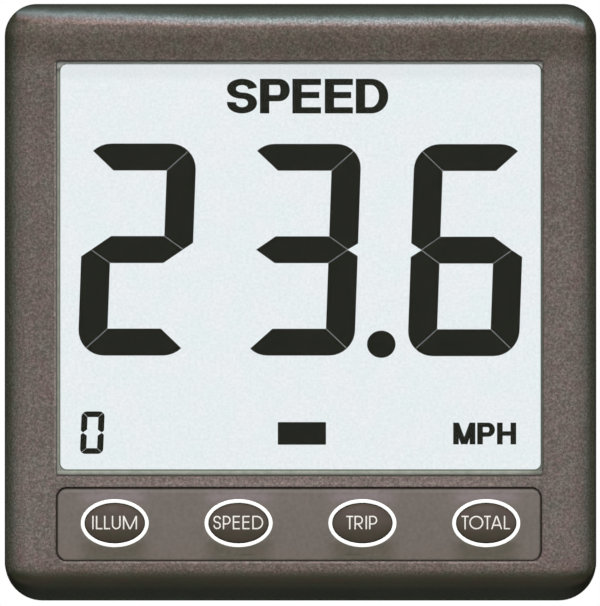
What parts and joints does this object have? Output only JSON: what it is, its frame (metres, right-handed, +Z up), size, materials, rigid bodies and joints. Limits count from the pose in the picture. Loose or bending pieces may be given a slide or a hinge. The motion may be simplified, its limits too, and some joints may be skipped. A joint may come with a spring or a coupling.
{
  "type": "marine speed log",
  "caption": "Square panel-mounted marine speed display with a liquid crystal window, oval push keys, a round rear barrel and a stud clamp for bulkhead mounting.",
  "frame": {"origin": "centre of the round barrel, in the plane where the gasket meets the panel's front surface", "axes": "+Y points through the panel along the barrel and the stud, so the display faces -Y; +Z is up; +X is to the viewer's right"},
  "size_m": [0.11, 0.0793, 0.111],
  "materials": {
    "housing_plastic": "fine spark-eroded texture, semi-matt",
    "mat_rubber": "smooth matt",
    "key_rubber": "smooth, slightly glossy",
    "ring_ink": "printed ink",
    "lens_acrylic": "polished clear acrylic",
    "cell_glass": "polished",
    "polariser_film": "anti-glare film",
    "segment_dark": "dark liquid crystal",
    "reflector_film": "pale reflector",
    "frame_plastic": "moulded grey",
    "clear_guide": "polished clear acrylic",
    "lamp_resin": "moulded resin",
    "black_rubber": "moulded, matt",
    "board_green": "solder mask",
    "chip_black": "moulded resin",
    "can_steel": "plated",
    "capacitor_sleeve": "shrunk sleeve",
    "header_ivory": "moulded",
    "cover_plastic": "moulded, semi-matt",
    "stainless": "satin",
    "screw_steel": "bright",
    "nut_brass": "turned",
    "gland_nylon": "moulded nylon",
    "socket_nickel": "nickel plated",
    "contact_gold": "gold plated"
  },
  "bodies": {
    "head": {"front_housing": "housing_plastic", "window_lens": "lens_acrylic", "lens_seal": "black_rubber", "display_frame": "frame_plastic", "front_polariser": "polariser_film", "front_glass": "cell_glass", "display_segments": "segment_dark", "cell_seal": "reflector_film", "rear_glass": "cell_glass", "rear_polariser": "reflector_film", "diffuser": "reflector_film", "light_guide": "clear_guide", "backlight_leds": "lamp_resin", "contact_strips": "black_rubber", "circuit_board": "board_green", "board_screws": "screw_steel", "microcontroller": "chip_black", "crystal": "can_steel", "capacitors": "capacitor_sleeve", "voltage_regulator": "chip_black", "power_header": "header_ivory", "sensor_header": "header_ivory", "switch_bodies": "chip_black", "keypad_mat": "mat_rubber", "key_rings": "ring_ink", "case_seal": "black_rubber", "rear_cover": "cover_plastic", "case_screws": "screw_steel", "panel_gasket": "black_rubber", "mounting_stud": "stainless", "stud_seal": "black_rubber", "stud_nut": "stainless", "gland_body": "gland_nylon", "gland_nut": "gland_nylon", "gland_seal": "black_rubber", "gland_cap": "gland_nylon", "socket_shell": "socket_nickel", "socket_nut": "socket_nickel", "socket_insert": "chip_black", "socket_contacts": "contact_gold"},
    "light_key": {"key_light": "key_rubber", "plunger_light": "header_ivory"},
    "speed_key": {"key_speed": "key_rubber", "plunger_speed": "header_ivory"},
    "trip_key": {"key_trip": "key_rubber", "plunger_trip": "header_ivory"},
    "total_key": {"key_total": "key_rubber", "plunger_total": "header_ivory"},
    "clamp_washer_body": {"clamp_washer": "stainless"},
    "bracket": {"clamp_bracket": "stainless"},
    "nut": {"thumb_nut": "nut_brass"}
  },
  "joints": [
    {"name": "press_light", "type": "slide", "parent": "head", "child": "light_key", "axis": [0, 1, 0], "range_m": [0, 0.0005], "stiffness_N_per_m": 2000, "springref_m": -0.0003},
    {"name": "press_speed", "type": "slide", "parent": "head", "child": "speed_key", "axis": [0, 1, 0], "range_m": [0, 0.0005], "stiffness_N_per_m": 2000, "springref_m": -0.0003},
    {"name": "press_trip", "type": "slide", "parent": "head", "child": "trip_key", "axis": [0, 1, 0], "range_m": [0, 0.0005], "stiffness_N_per_m": 2000, "springref_m": -0.0003},
    {"name": "press_total", "type": "slide", "parent": "head", "child": "total_key", "axis": [0, 1, 0], "range_m": [0, 0.0005], "stiffness_N_per_m": 2000, "springref_m": -0.0003},
    {"name": "clamp_travel", "type": "slide", "parent": "head", "child": "clamp_washer_body", "axis": [0, 1, 0], "range_m": [-0.004, 0.016]},
    {"name": "nut_turn", "type": "hinge", "parent": "clamp_washer_body", "child": "nut", "pos_m": [0, 0.038, 0], "axis": [0, 1, 0], "range_deg": [-1800, 7200]},
    {"name": "bracket_turn", "type": "hinge", "parent": "clamp_washer_body", "child": "bracket", "pos_m": [0, 0.031, 0], "axis": [0, 1, 0], "range_deg": [-45, 45]}
  ],
  "couplings": [
    {"joint": "nut_turn", "follows": "clamp_travel", "rad_per_m": 7854}
  ]
}
